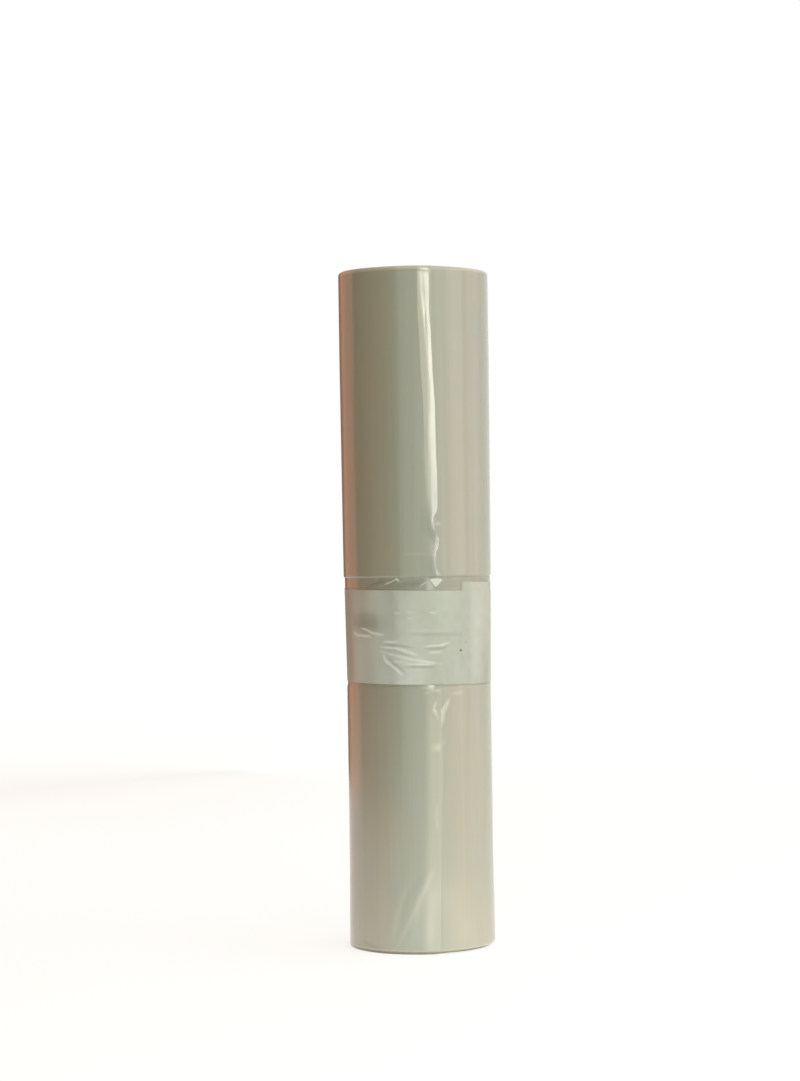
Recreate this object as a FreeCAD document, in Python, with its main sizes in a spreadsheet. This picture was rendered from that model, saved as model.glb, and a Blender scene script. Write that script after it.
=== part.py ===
import FreeCAD, Part
import Sketcher
import math
import os

# A roll of translucent bin bags that stands on its end. The bags are one long
# web of folded film, wound on itself with no core, so its turns are one solid.
# A strip of white paper goes round the middle a little more than once, each
# turn lower than the last, and a wider clear tape holds it to the film.
#
# The axis of the roll is +Z and the floor is at z = 0. The front is -Y, and
# angles round the roll are degrees from the front towards +X.

SIZES = {
    # the wound film, from the floor up
    "roll_length": 300.0,
    "base_radius": 32.45,
    "lower_radius": 32.1,
    "waist_radius": 32.1,
    "upper_radius": 33.0,
    "top_radius": 33.4,
    "rim_round": 2.0,
    "eye_radius": 7.0,
    # the outermost bag's free margin, from its bottom weld to its torn edge
    "flap_width": 5.8,
    "flap_angle": 15.0,
    # the tape presses that margin down and draws the film in
    "flap_pressed": 0.8,
    "waist_margin": 1.5,
    "waist_rise": 14.0,
    # the line between turns that shows on both ends
    "turns_shown": 7.0,
    "seam_width": 0.4,
    "seam_depth": 0.8,
    "seam_margin": 2.4,
    # the paper strip
    "paper_width": 41.0,
    "paper_thickness": 0.12,
    "paper_inset": 2.2,
    "paper_drop": 3.9,
    "paper_angle": 35.5,
    "paper_sweep_angle": 430.0,
    "paper_slack": 0.06,
    # the clear tape
    "tape_low": 116.2,
    "tape_width": 48.0,
    "tape_thickness": 0.08,
    "tape_angle": -45.0,
    "tape_sweep_angle": 295.0,
    "tape_slack": 0.06,
}
RIM_STEPS = 3

doc = FreeCAD.newDocument("bin_bag_roll")
sheet = doc.addObject("Spreadsheet::Sheet", "Sizes")
for row, (alias, value) in enumerate(SIZES.items(), start=1):
    sheet.set(f"A{row}", alias)
    sheet.set(f"B{row}", str(value))
    sheet.setAlias(f"B{row}", alias)
doc.recompute()

# What follows from the sizes
TAPE_TOP = "(Sizes.tape_low + Sizes.tape_width)"
WAIST_LOW = "(Sizes.tape_low - Sizes.waist_margin)"
WAIST_HIGH = f"({TAPE_TOP} + Sizes.waist_margin)"
PAPER_TOP = f"({TAPE_TOP} - Sizes.paper_inset)"
PAPER_INNER = "(Sizes.waist_radius + Sizes.paper_slack)"
PAPER_TURNS = "(Sizes.paper_sweep_angle / 360)"
PAPER_STEP = "(Sizes.paper_thickness + Sizes.paper_slack)"
TAPE_INNER = f"({PAPER_INNER} + {PAPER_STEP} * {PAPER_TURNS} + Sizes.paper_thickness + Sizes.tape_slack)"


def size(alias):
    return float(getattr(sheet, alias))


def add_sketch(body, name, plane):
    sketch = body.newObject("Sketcher::SketchObject", name)
    own_plane = next(f for f in body.Origin.OriginFeatures if f.Role == plane)
    sketch.AttachmentSupport = [(own_plane, "")]
    sketch.MapMode = "FlatFace"
    return sketch


def tie(sketch, kind, geometry, expression):
    """Adds a constraint whose value an expression gives."""
    value = float(sketch.evalExpression(expression))
    index = sketch.addConstraint(Sketcher.Constraint(kind, *geometry, value))
    sketch.setExpression(f"Constraints[{index}]", expression)


def turn_to(piece, angle):
    """Turns a piece that was made from +X on, so that it starts at an angle from the front."""
    upright = FreeCAD.Vector(0, 0, 1)
    turn = FreeCAD.Rotation(upright, size(angle) - 90)
    piece.Placement = FreeCAD.Placement(FreeCAD.Vector(0, 0, 0), turn)
    piece.setExpression("Placement.Rotation.Angle", f"(Sizes.{angle} - 90) * 1 deg")


# Round the roll a section is a circle that ends in a short tangent line, the
# margin that stands off the film, and a step back down to the turn below.
def roll_section(body, name, height, radius_says, flap_says):
    sketch = add_sketch(body, name, "XY_Plane")
    sketch.setExpression("AttachmentOffset.Base.z", height)
    radius = sketch.evalExpression(radius_says)
    flap = sketch.evalExpression(flap_says)
    lift = math.atan2(flap, radius)
    centre = FreeCAD.Vector(0, 0, 0)
    weld = FreeCAD.Vector(radius * math.cos(lift), -radius * math.sin(lift), 0)
    edge = FreeCAD.Vector(math.hypot(radius, flap), 0, 0)
    under = FreeCAD.Vector(radius, 0, 0)
    circle = Part.Circle(centre, FreeCAD.Vector(0, 0, 1), radius)
    arc = sketch.addGeometry(Part.ArcOfCircle(circle, 0, 2 * math.pi - lift))
    margin = sketch.addGeometry(Part.LineSegment(weld, edge))
    step = sketch.addGeometry(Part.LineSegment(edge, under))
    for places in ((arc, 3, -1, 1), (margin, 2, step, 1), (step, 2, arc, 1)):
        sketch.addConstraint(Sketcher.Constraint("Coincident", *places))
    sketch.addConstraint(Sketcher.Constraint("Tangent", arc, 2, margin, 1))
    sketch.addConstraint(Sketcher.Constraint("PointOnObject", arc, 1, -1))
    sketch.addConstraint(Sketcher.Constraint("PointOnObject", margin, 2, -1))
    tie(sketch, "Radius", (arc,), radius_says)
    tie(sketch, "Distance", (margin,), flap_says)
    return sketch


def rim_sections(end_radius):
    """Sections of a rounded rim, from the end face inwards: depth and radius."""
    sections = []
    for step in range(RIM_STEPS + 1):
        turn = math.pi / 2 * step / RIM_STEPS
        depth = f"Sizes.rim_round * {1 - math.cos(turn):.6f}"
        sections.append((depth, f"{end_radius} - Sizes.rim_round * {1 - math.sin(turn):.6f}"))
    return sections


# Below and above the tape the free margin of the last bag stands off the roll.
# Under the tape the film is drawn in and that margin is pressed flat.
def make_web():
    body = doc.addObject("PartDesign::Body", "WoundWeb")
    flap, pressed = "Sizes.flap_width", "Sizes.flap_pressed"
    sections = [(depth, radius, flap) for depth, radius in rim_sections("Sizes.base_radius")]
    sections += [
        (f"{WAIST_LOW} - Sizes.waist_rise", "Sizes.lower_radius", flap),
        (WAIST_LOW, "Sizes.waist_radius", pressed),
        (WAIST_HIGH, "Sizes.waist_radius", pressed),
        (f"{WAIST_HIGH} + Sizes.waist_rise", "Sizes.upper_radius", flap),
    ]
    sections += [
        (f"Sizes.roll_length - {depth}", radius, flap)
        for depth, radius in reversed(rim_sections("Sizes.top_radius"))
    ]
    sketches = [roll_section(body, f"section_{i}", *s) for i, s in enumerate(sections)]
    winding = body.newObject("PartDesign::AdditiveLoft", "winding")
    winding.Profile = sketches[0]
    winding.Sections = sketches[1:]
    winding.Ruled = True
    cut_eye(body)
    doc.recompute()
    turn_to(body, "flap_angle")
    return body


def cut_eye(body):
    """The hole that the winding mandrel left, from end to end."""
    sketch = add_sketch(body, "eye_circle", "XY_Plane")
    circle = Part.Circle(FreeCAD.Vector(0, 0, 0), FreeCAD.Vector(0, 0, 1), size("eye_radius"))
    eye = sketch.addGeometry(circle)
    sketch.addConstraint(Sketcher.Constraint("Coincident", eye, 3, -1, 1))
    tie(sketch, "Radius", (eye,), "Sizes.eye_radius")
    pocket = body.newObject("PartDesign::Pocket", "eye")
    pocket.Profile = sketch
    pocket.Reversed = True
    pocket.setExpression("Length", "Sizes.roll_length")


# The line where one turn ends and the next begins. Half circles about two
# centres, a quarter of the pitch either side of the axis, make the spiral.
def seam_face(end_radius, height):
    turns = int(round(size("turns_shown")))
    inner = size("eye_radius") + size("seam_margin")
    pitch = (end_radius - size("seam_margin") - inner) / turns
    upright = FreeCAD.Vector(0, 0, 1)

    def side(offset):
        arcs = []
        for half in range(2 * turns):
            begin = math.pi * (half % 2)
            across = pitch / 4 if half % 2 else -pitch / 4
            centre = FreeCAD.Vector(across, 0, height)
            circle = Part.Circle(centre, upright, inner + pitch / 4 + half * pitch / 2 + offset)
            arcs.append(Part.ArcOfCircle(circle, begin, begin + math.pi).toShape())
        return arcs

    outside, inside = side(size("seam_width") / 2), side(-size("seam_width") / 2)
    start = Part.makeLine(outside[0].firstVertex().Point, inside[0].firstVertex().Point)
    end = Part.makeLine(outside[-1].lastVertex().Point, inside[-1].lastVertex().Point)
    return Part.Face(Part.Wire(Part.__sortEdges__([start, end] + outside + inside)))


def make_seams():
    depth = size("seam_depth")
    through = FreeCAD.Vector(0, 0, 2 * depth)
    bottom = seam_face(size("base_radius"), -depth).extrude(through)
    top = seam_face(size("top_radius"), size("roll_length") - depth).extrude(through)
    seams = doc.addObject("Part::Feature", "Seams")
    seams.Shape = Part.Compound([bottom, top])
    turn_to(seams, "flap_angle")
    return seams


def make_bag_roll():
    roll = doc.addObject("Part::Cut", "BagRoll")
    roll.Base = make_web()
    roll.Tool = make_seams()
    roll.Label = "bag_roll"
    return roll


def wrapped_strip(body, kind, name, inner, thickness, low, high):
    """Takes a strip that stands on edge round the roll, by a turned feature of this kind."""
    sketch = add_sketch(body, name + "_section", "XZ_Plane")
    outer = f"{inner} + {thickness}"
    corners = [(inner, low), (outer, low), (outer, high), (inner, high)]
    points = [FreeCAD.Vector(*(sketch.evalExpression(e) for e in corner), 0) for corner in corners]
    sides = [
        sketch.addGeometry(Part.LineSegment(a, b)) for a, b in zip(points, points[1:] + points[:1])
    ]
    for i, line in enumerate(sides):
        sketch.addConstraint(Sketcher.Constraint("Coincident", sides[i - 1], 2, line, 1))
        sketch.addConstraint(Sketcher.Constraint("Vertical" if i % 2 else "Horizontal", line))
    tie(sketch, "DistanceX", (-1, 1, sides[0], 1), inner)
    tie(sketch, "DistanceX", (sides[0], 1, sides[0], 2), thickness)
    tie(sketch, "DistanceY", (-1, 1, sides[0], 1), low)
    tie(sketch, "DistanceY", (-1, 1, sides[2], 1), high)
    feature = body.newObject(kind, name)
    feature.Profile = sketch
    feature.ReferenceAxis = (sketch, ["V_Axis"])
    return feature


# The strip starts against the film and runs down and outwards as it goes round,
# so that its second turn lies on its first.
def make_paper_strip():
    body = doc.addObject("PartDesign::Body", "PaperStrip")
    low = f"({PAPER_TOP} - Sizes.paper_width)"
    strip = wrapped_strip(
        body, "PartDesign::AdditiveHelix", "strip", PAPER_INNER, "Sizes.paper_thickness", low, PAPER_TOP
    )
    strip.Mode = "height-turns-growth"
    strip.Reversed = True
    strip.LeftHanded = True
    strip.setExpression("Turns", PAPER_TURNS)
    strip.setExpression("Height", f"Sizes.paper_drop * {PAPER_TURNS}")
    strip.setExpression("Growth", PAPER_STEP)
    doc.recompute()
    turn_to(body, "paper_angle")
    body.Label = "paper_strip"
    return body


# The tape lies over the paper and stops short of meeting its own start.
def make_clear_tape():
    body = doc.addObject("PartDesign::Body", "ClearTape")
    tape = wrapped_strip(
        body, "PartDesign::Revolution", "tape", TAPE_INNER, "Sizes.tape_thickness", "Sizes.tape_low", TAPE_TOP
    )
    tape.setExpression("Angle", "Sizes.tape_sweep_angle")
    doc.recompute()
    turn_to(body, "tape_angle")
    body.Label = "clear_tape"
    return body


subparts = [make_bag_roll(), make_paper_strip(), make_clear_tape()]
doc.recompute()

for feature in doc.Objects:
    if "Invalid" in feature.State or "Error" in feature.State:
        raise RuntimeError(f"{feature.Label} failed: {feature.State}")
for subpart in subparts:
    if subpart.Shape.isNull() or not subpart.Shape.isValid() or not subpart.Shape.Solids:
        raise RuntimeError(f"{subpart.Label} has no valid solid")

os.makedirs("parts", exist_ok=True)
for subpart in subparts:
    subpart.Shape.exportStep(f"parts/{subpart.Label}.step")
    print(f"{subpart.Label}: {len(subpart.Shape.Solids)} solid, {subpart.Shape.Volume:.1f} mm3")
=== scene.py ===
import math

import bpy
import numpy as np
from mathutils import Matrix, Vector


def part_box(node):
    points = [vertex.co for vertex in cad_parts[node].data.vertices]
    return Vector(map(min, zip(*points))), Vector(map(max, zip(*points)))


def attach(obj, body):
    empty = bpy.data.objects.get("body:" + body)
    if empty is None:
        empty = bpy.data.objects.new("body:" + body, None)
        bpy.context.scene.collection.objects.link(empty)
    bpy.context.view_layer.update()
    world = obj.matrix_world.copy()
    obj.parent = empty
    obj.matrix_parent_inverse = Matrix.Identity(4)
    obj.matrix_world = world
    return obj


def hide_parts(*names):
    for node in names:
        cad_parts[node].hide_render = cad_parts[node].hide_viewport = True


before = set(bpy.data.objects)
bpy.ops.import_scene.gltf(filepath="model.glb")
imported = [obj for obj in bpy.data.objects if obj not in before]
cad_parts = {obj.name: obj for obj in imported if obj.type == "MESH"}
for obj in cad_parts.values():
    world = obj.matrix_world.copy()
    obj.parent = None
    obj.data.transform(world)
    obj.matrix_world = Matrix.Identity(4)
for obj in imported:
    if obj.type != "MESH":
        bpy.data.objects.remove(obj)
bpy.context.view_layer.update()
mm = 0.001

# The front is -Y and +Z is up. Azimuths are degrees round the roll, from the
# front towards +X, so that azimuth a lies at (sin a, -cos a).
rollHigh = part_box("bag_roll")[1]
tapeLow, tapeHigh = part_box("clear_tape")
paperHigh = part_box("paper_strip")[1]
# Radii at which the photo's points on the film and on the band are placed
filmRadius = rollHigh.y - 1.0 * mm
bandRadius = tapeHigh.x

cameraSetup = {
    "distance": 1.224,
    "side": -0.0075,
    "height": 0.1804,
    "rollAngle": 0.874,
    "lens": 91.25,
    "sensor": 36.0,
    "photoWidth": 800,
    "photoHeight": 1081,
}


def makeCamera(setup):
    data = bpy.data.cameras.new("camera")
    data.lens = setup["lens"]
    data.sensor_width = setup["sensor"]
    camera = bpy.data.objects.new("camera", data)
    camera.location = (setup["side"], -setup["distance"], setup["height"])
    camera.rotation_euler = (math.radians(90), math.radians(setup["rollAngle"]), 0)
    bpy.context.scene.collection.objects.link(camera)
    bpy.context.scene.camera = camera


# Where a point of the photo lies on the roll: azimuth in degrees, height in metres.
# Each round takes the depth from the azimuth that the last one found.
def fromPhoto(x, y, radius):
    setup = cameraSetup
    focal = setup["lens"] / setup["sensor"] * setup["photoHeight"]
    across, down = x - setup["photoWidth"] / 2, y - setup["photoHeight"] / 2
    lean = math.radians(setup["rollAngle"])
    right = across * math.cos(lean) + -down * math.sin(lean)
    up = -down * math.cos(lean) - across * math.sin(lean)
    azimuth = 0.0
    for _ in range(4):
        depth = setup["distance"] - radius * math.cos(azimuth)
        sine = (right * depth / focal + setup["side"]) / radius
        azimuth = math.asin(max(-1.0, min(1.0, sine)))
    return math.degrees(azimuth), setup["height"] + up * depth / focal


# The place at an azimuth, a distance from the roll's axis and a height
def aroundRoll(azimuth, distance, height):
    turned = math.radians(azimuth)
    return Vector((distance * math.sin(turned), -distance * math.cos(turned), height))


makeCamera(cameraSetup)
print("camera placed")


# One output of a node. Arithmetic on signals adds Math nodes to their tree.
class Signal:
    def __init__(self, tree, node, output):
        self.tree, self.node, self.output = tree, node, output

    def out(self, name):
        return Signal(self.tree, self.node, self.node.outputs[name])

    def __add__(self, other):
        return self.tree.maths("ADD", self, other)

    def __radd__(self, other):
        return self.tree.maths("ADD", other, self)

    def __sub__(self, other):
        return self.tree.maths("SUBTRACT", self, other)

    def __rsub__(self, other):
        return self.tree.maths("SUBTRACT", other, self)

    def __mul__(self, other):
        return self.tree.maths("MULTIPLY", self, other)

    def __rmul__(self, other):
        return self.tree.maths("MULTIPLY", other, self)

    def __truediv__(self, other):
        return self.tree.maths("DIVIDE", self, other)

    def __rtruediv__(self, other):
        return self.tree.maths("DIVIDE", other, self)


# A node tree, for a material or for Geometry Nodes
class Tree:
    def __init__(self, nodeTree):
        self.nodeTree = nodeTree

    # A node of a type, with its settings, and the values or links of its sockets
    def add(self, kind, settings=None, sockets=None, output=0):
        node = self.nodeTree.nodes.new(kind)
        for name, value in (settings or {}).items():
            if name == "curve":
                self.setCurve(node, value)
            else:
                setattr(node, name, value)
        for name, value in (sockets or {}).items():
            if isinstance(value, Signal):
                self.nodeTree.links.new(value.output, node.inputs[name])
            else:
                node.inputs[name].default_value = value
        return Signal(self, node, node.outputs[output] if len(node.outputs) else None)

    def setCurve(self, node, points):
        line = node.mapping.curves[0]
        for place, value in points[1:-1]:
            line.points.new(place, value)
        line.points[0].location = points[0]
        line.points[-1].location = points[-1]
        for point in line.points:
            point.handle_type = "AUTO_CLAMPED"
        node.mapping.update()

    def maths(self, operation, *values, clamp=False):
        settings = {"operation": operation, "use_clamp": clamp}
        return self.add("ShaderNodeMath", settings, dict(enumerate(values)))

    # 0 before one value and 1 after another, with a soft or a straight way between
    def ramp(self, signal, begin, end, shape="SMOOTHSTEP"):
        sockets = {"Value": signal, "From Min": begin, "From Max": end}
        return self.add("ShaderNodeMapRange", {"interpolation_type": shape}, sockets)

    # A smooth line through points, each a place and the value there
    def follow(self, signal, points):
        first, last = points[0][0], points[-1][0]
        low = min(value for _, value in points)
        reach = max(value for _, value in points) - low
        shape = [((p - first) / (last - first), (v - low) / reach) for p, v in points]
        share = (signal - first) / (last - first)
        line = self.add("ShaderNodeFloatCurve", {"curve": shape}, {"Value": share})
        return line * reach + low

    def colourMix(self, share, first, second, blend="MIX"):
        settings = {"data_type": "RGBA", "blend_type": blend}
        return self.add("ShaderNodeMix", settings, {0: share, 6: first, 7: second}, output=2)

    # Degrees round the roll, from separated Object coordinates
    def azimuth(self, apart):
        return self.maths("ARCTAN2", apart.out("X"), apart.out("Y") * -1) * (180 / math.pi)

    def axisDistance(self, apart):
        return self.maths("SQRT", apart.out("X") * apart.out("X") + apart.out("Y") * apart.out("Y"))

    # What setLifted keeps on a piece: above 0 on folds and below 0 in grooves
    def lifted(self):
        return self.add("ShaderNodeAttribute", {"attribute_name": "lifted"}, output="Fac")

    # 1 where the camera looks, also in a reflection or through something clear
    def seen(self):
        rays = self.add("ShaderNodeLightPath")
        direct = self.maths("MAXIMUM", rays.out("Is Camera Ray"), rays.out("Is Glossy Ray"))
        return self.maths("MAXIMUM", direct, rays.out("Is Transmission Ray"))


def colour(red, green, blue):
    return (red, green, blue, 1.0)


socketKinds = {float: "NodeSocketFloat", int: "NodeSocketInt"}


# A Geometry Nodes tree with a named input for each value of a piece's dictionary
class ShapeTree(Tree):
    def __init__(self, name, values, material):
        super().__init__(bpy.data.node_groups.new(name, "GeometryNodeTree"))
        self.values = {**values, "material": material}
        for label, value in self.values.items():
            kind = "NodeSocketMaterial" if label == "material" else socketKinds[type(value)]
            self.nodeTree.interface.new_socket(label, in_out="INPUT", socket_type=kind)
        result = "NodeSocketGeometry"
        self.nodeTree.interface.new_socket("Geometry", in_out="OUTPUT", socket_type=result)
        start = self.add("NodeGroupInput")
        self.given = {label: start.out(label) for label in self.values}

    # A point for each radius, azimuth in degrees and height
    def polar(self, radius, azimuth, height):
        angle = azimuth * math.radians(1)
        return self.add("ShaderNodeCombineXYZ", {}, {
            "X": radius * self.maths("SINE", angle),
            "Y": radius * self.maths("COSINE", angle) * -1,
            "Z": height,
        })

    def finishShape(self, geometry):
        smooth = self.add("GeometryNodeSetShadeSmooth", {}, {"Geometry": geometry})
        whole = self.add("GeometryNodeRealizeInstances", {}, {"Geometry": smooth})
        sockets = {"Geometry": whole, "Material": self.given["material"]}
        finished = self.add("GeometryNodeSetMaterial", {}, sockets)
        self.add("NodeGroupOutput", {}, {"Geometry": finished})

    # The tree's result as a plain mesh, with an optional wall thickness
    def makePiece(self, name, thickness=0.0):
        piece = bpy.data.objects.new(name, bpy.data.meshes.new(name))
        bpy.context.scene.collection.objects.link(piece)
        rule = piece.modifiers.new("rule", "NODES")
        rule.node_group = self.nodeTree
        for item in self.nodeTree.interface.items_tree:
            if item.in_out == "INPUT":
                rule[item.identifier] = self.values[item.name]
        if thickness:
            wall = piece.modifiers.new("wall", "SOLIDIFY")
            wall.thickness = thickness
            wall.offset = 1
        shown = piece.evaluated_get(bpy.context.evaluated_depsgraph_get())
        mesh = bpy.data.meshes.new_from_object(shown)
        piece.modifiers.clear()
        piece.data = mesh
        mesh.name = name
        return piece


def newMaterial(name):
    material = bpy.data.materials.new(name)
    material.use_nodes = True
    material.node_tree.nodes.clear()
    return material, Tree(material.node_tree)


# Materials

filmFinish = {
    "milky": colour(0.42, 0.435, 0.355),
    "warm": colour(0.46, 0.43, 0.335),
    "cloudScale": 38.0,
    "cloudFrom": (0.25, 0.75),
    "coolReflection": colour(0.4, 0.46, 0.375),
    "coolReflectionFrom": (-28.0, -12.0),
    "coolReflectionTo": (15.0, 30.0),
    "coolReflectionShare": 0.6,
    # Painted light on the turn right of the free edge
    "beside": colour(0.72, 0.68, 0.57),
    "besideLightShare": 0.2,
    "besideLightReach": (10.0 * mm, 36.0 * mm),
    "streakScale": 420.0,
    "streakStretch": 0.02,
    "streakShade": 0.93,
    "streakReach": 0.14,
    # Painted sheen of the free margin and of the sheen zones
    "paintedSheen": colour(0.68, 0.69, 0.57),
    "marginWidth": 5.3 * mm,
    "marginWidthLow": 8.4 * mm,
    "marginSoft": 0.25 * mm,
    "marginSoftLow": 4.5 * mm,
    "edgeSoft": 0.15 * mm,
    # Painted highlight on folds and painted shade in grooves
    "folded": colour(0.92, 0.93, 0.82),
    "grooveShade": colour(0.27, 0.27, 0.2),
    "foldLightAndShade": 0.42,
    # Pale tone: a painted highlight on the rounded rims, and the turn edges' own paler tone
    "edge": colour(0.6, 0.57, 0.46),
    "rimHighlightBand": (1.7 * mm, 2.1 * mm),
    "rimHighlightShare": 0.7,
    "turnTone": 0.3,
    "sideBegins": (rollHigh.y - 4.0 * mm, rollHigh.y - 3.0 * mm),
    "ringScale": 520.0,
    "ringFrom": (0.62, 0.38),
    "ringDark": 0.45,
    "roughness": 0.14,
    "roughnessReach": 0.07,
    "gloss": 0.75,
    "bump": 0.00012,
    "scatter": 0.35,
    "scatterDepth": 0.006,
    "scatterTint": (1.0, 0.9, 0.7),
}
# The free edge of the last bag: height in millimetres, azimuth in degrees
lapEdge = [
    (0, 12.9), (30, 14.0), (60, 15.6), (90, 16.9), (111, 16.6), (140, 14.9), (166, 14.2),
    (170, 13.6), (176, 14.9), (180, 16.5), (188, 11.9), (192, 14.9), (198, 15.9), (220, 15.3),
    (237, 14.9), (254, 13.5), (272, 12.4), (285, 11.6), (300, 11.9),
]
# How much painted sheen the margin beside that edge takes: height in millimetres and share
marginSheen = [
    (0, 0.4), (60, 0.5), (90, 0.55), (111, 0.4), (165, 0.0), (190, 0.0), (202, 0.15),
    (222, 0.4), (240, 0.7), (300, 0.8),
]


# Milky film in many turns: upright gauge streaks and soft clouds, with a painted cool reflection
# at the front and painted light right of the free edge. The free margin and the folds get a painted
# sheen and painted highlights, the grooves painted shade, the rims a painted highlight, and fine
# rings show the turns on the end faces.
def makeFilm(finish, name, endTone):
    material, tree = newMaterial(name)
    place = tree.add("ShaderNodeTexCoord", output="Object")
    stretch = (1, 1, finish["streakStretch"])
    drawn = tree.add("ShaderNodeMapping", {}, {"Vector": place, "Scale": stretch})
    streaks = tree.add("ShaderNodeTexNoise", {}, {
        "Vector": drawn, "Scale": finish["streakScale"], "Detail": 4.0, "Roughness": 0.65,
    })
    clouds = tree.add("ShaderNodeTexNoise", {}, {
        "Vector": place, "Scale": finish["cloudScale"], "Detail": 3.0, "Roughness": 0.5,
    })
    apart = tree.add("ShaderNodeSeparateXYZ", {}, {"Vector": place})
    height = apart.out("Z")
    azimuth = tree.azimuth(apart)
    fromAxis = tree.axisDistance(apart)
    onSide = tree.ramp(fromAxis, *finish["sideBegins"])
    fromEnd = tree.maths("MINIMUM", height, rollHigh.z - height)
    # Painted highlight band along the rounded rims
    rim = (1 - tree.ramp(fromEnd, *finish["rimHighlightBand"])) * onSide * finish["rimHighlightShare"]

    beside = (tree.follow(height / mm, lapEdge) - azimuth) * (math.radians(1) * rollHigh.y)
    upper = tree.ramp(height, tapeLow.z, tapeHigh.z)
    soft = finish["marginSoftLow"] + upper * (finish["marginSoft"] - finish["marginSoftLow"])
    width = finish["marginWidthLow"] + upper * (finish["marginWidth"] - finish["marginWidthLow"])
    onMargin = tree.ramp(beside, 0.0, finish["edgeSoft"])
    margin = onMargin * (1 - tree.ramp(beside, width - soft, width)) * onSide
    # Painted sheen on the free margin beside the edge
    marginSheenShare = margin * tree.follow(height / mm, marginSheen)
    # Painted light on the turn below, right of the free edge, fading away from it
    paintedLightBelow = (1 - onMargin) * (1 - tree.ramp(beside * -1, *finish["besideLightReach"]))
    paintedLightBelow = paintedLightBelow * onSide * finish["besideLightShare"]
    # Painted cool reflection of the surroundings across the front of the film
    front = tree.ramp(azimuth, *finish["coolReflectionFrom"]) * (1 - tree.ramp(azimuth, *finish["coolReflectionTo"]))
    front = front * onSide * finish["coolReflectionShare"]

    rings = tree.add("ShaderNodeTexNoise", {"noise_dimensions": "1D"}, {
        "W": fromAxis, "Scale": finish["ringScale"], "Detail": 5.0,
    })
    ringLines = tree.ramp(rings.out("Fac"), *finish["ringFrom"])
    ringShade = 1 - (1 - onSide) * ringLines * finish["ringDark"]
    shade = (finish["streakShade"] + streaks.out("Fac") * finish["streakReach"]) * ringShade
    grey = tree.add("ShaderNodeCombineColor", {}, {"Red": shade, "Green": shade, "Blue": shade})
    cloudy = tree.ramp(clouds.out("Fac"), *finish["cloudFrom"])
    # Folds and sheen zones get a painted highlight, grooves painted shade
    lifted = tree.lifted()
    up = tree.maths("MULTIPLY", lifted, finish["foldLightAndShade"], clamp=True)
    down = tree.maths("MULTIPLY", lifted, -finish["foldLightAndShade"], clamp=True)
    pale = tree.maths("ADD", rim, endTone, clamp=True)

    tone = tree.colourMix(cloudy, finish["milky"], finish["warm"])
    tone = tree.colourMix(front, tone, finish["coolReflection"])
    tone = tree.colourMix(paintedLightBelow, tone, finish["beside"])
    tone = tree.colourMix(1.0, tone, grey, "MULTIPLY")
    tone = tree.colourMix(marginSheenShare, tone, finish["paintedSheen"])
    tone = tree.colourMix(up, tone, finish["folded"])
    tone = tree.colourMix(down, tone, finish["grooveShade"])
    tone = tree.colourMix(pale, tone, finish["edge"])
    bump = tree.add("ShaderNodeBump", {}, {
        "Strength": 0.5, "Distance": finish["bump"], "Height": streaks.out("Fac"),
    })
    shader = tree.add("ShaderNodeBsdfPrincipled", {}, {
        "Base Color": tone,
        "Roughness": finish["roughness"] + finish["roughnessReach"] * clouds.out("Fac"),
        "IOR": 1.5,
        "Specular IOR Level": finish["gloss"],
        "Subsurface Weight": finish["scatter"],
        "Subsurface Scale": finish["scatterDepth"],
        "Subsurface Radius": finish["scatterTint"],
        "Normal": bump,
    })
    tree.add("ShaderNodeOutputMaterial", {}, {"Surface": shader})
    return material


paperFinish = {
    "clean": colour(0.56, 0.53, 0.455),
    "shaded": colour(0.53, 0.5, 0.43),
    "mottleScale": 70.0,
    "mottleGain": 1.4,
    "mottleShift": 0.2,
    # Painted cool reflection, painted light and painted sheen, by azimuth
    "coolReflection": colour(0.67, 0.69, 0.64),
    "coolReflectionFrom": (-46.0, -24.0),
    "frontLight": colour(0.705, 0.72, 0.63),
    "frontLightFrom": (-22.0, -14.0),
    "frontLightTo": (14.0, 60.0),
    "sheen": colour(0.9, 0.92, 0.86),
    "sheenShare": 0.45,
    "sheenTo": (-12.0, 12.0),
    # Painted highlight on creases and painted shade in grooves
    "creaseHighlight": colour(1.0, 1.0, 0.94),
    "pressed": colour(0.36, 0.35, 0.29),
    "creaseHighlightShare": 0.8,
    "creaseShadeShare": 0.5,
    "fleck": colour(0.06, 0.05, 0.04),
    "fleckRagged": 0.3 * mm,
    "fleckSoft": 0.25 * mm,
    "fibreScale": 2600.0,
    "roughness": 0.55,
    "roughnessReach": 0.1,
    "bump": 0.00006,
    "scatter": 0.15,
    "scatterDepth": 0.002,
}
# Each fleck's point in the photo and its size
flecks = {
    "darkFleck": ((461.0, 650.3), 0.55 * mm),
    "smallFleck": ((466.0, 641.7), 0.3 * mm),
}
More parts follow.
